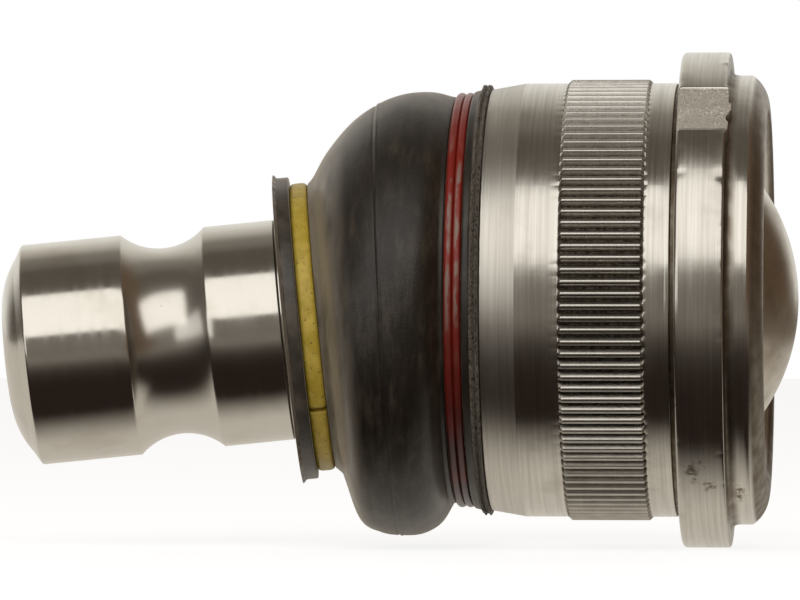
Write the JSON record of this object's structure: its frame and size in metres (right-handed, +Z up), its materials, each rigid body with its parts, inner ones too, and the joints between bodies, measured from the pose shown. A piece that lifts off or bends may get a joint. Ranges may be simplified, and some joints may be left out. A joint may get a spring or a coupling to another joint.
{
  "type": "suspension ball joint",
  "caption": "Press-in suspension ball joint: knurled flanged housing with a rolled-in domed cover, rubber boot, and a pinch-bolt stud that swings and turns.",
  "frame": {"origin": "the ball's centre, on the housing's axis inside the knurled press seat", "axes": "+X along the housing's axis towards the domed cover, the stud leaves towards -X; +Z up as pictured, with the flange's flat towards +Z and -Y; the stud leans 7 degrees down and towards -Y"},
  "size_m": [0.0794, 0.0492, 0.0492],
  "materials": {
    "turned_steel": "turned steel, bare, lightly oiled",
    "pressed_steel": "pressed steel plate, dark oiled",
    "ground_steel": "turned and polished steel",
    "boot_rubber": "satin moulded rubber",
    "red_ring": "red coated spring wire, worn",
    "yellow_ring": "yellow plastic, speckled",
    "seat_plastic": "natural acetal"
  },
  "bodies": {
    "housing": {"housing": "turned_steel", "cover_plate": "pressed_steel", "ball_seat": "seat_plastic"},
    "boot": {"boot_lip": "boot_rubber", "boot_lower_ring": "red_ring", "boot_bellows": "boot_rubber"},
    "collar": {"boot_collar": "boot_rubber", "boot_upper_ring": "yellow_ring"},
    "stud": {"ball_stud": "ground_steel"}
  },
  "joints": [
    {"name": "swing_direction", "type": "hinge", "parent": "housing", "child": "boot", "pos_m": [0, 0, 0], "axis": [-1, 0, 0], "continuous": true},
    {"name": "stud_tilt", "type": "hinge", "parent": "boot", "child": "collar", "pos_m": [0, 0, 0], "axis": [0, -0.8192, 0.5736], "range_deg": [-27, 13], "deforming": ["boot_bellows"]},
    {"name": "stud_turn", "type": "hinge", "parent": "collar", "child": "stud", "pos_m": [0, 0, 0], "axis": [-0.9925, -0.0699, -0.0998], "continuous": true}
  ]
}
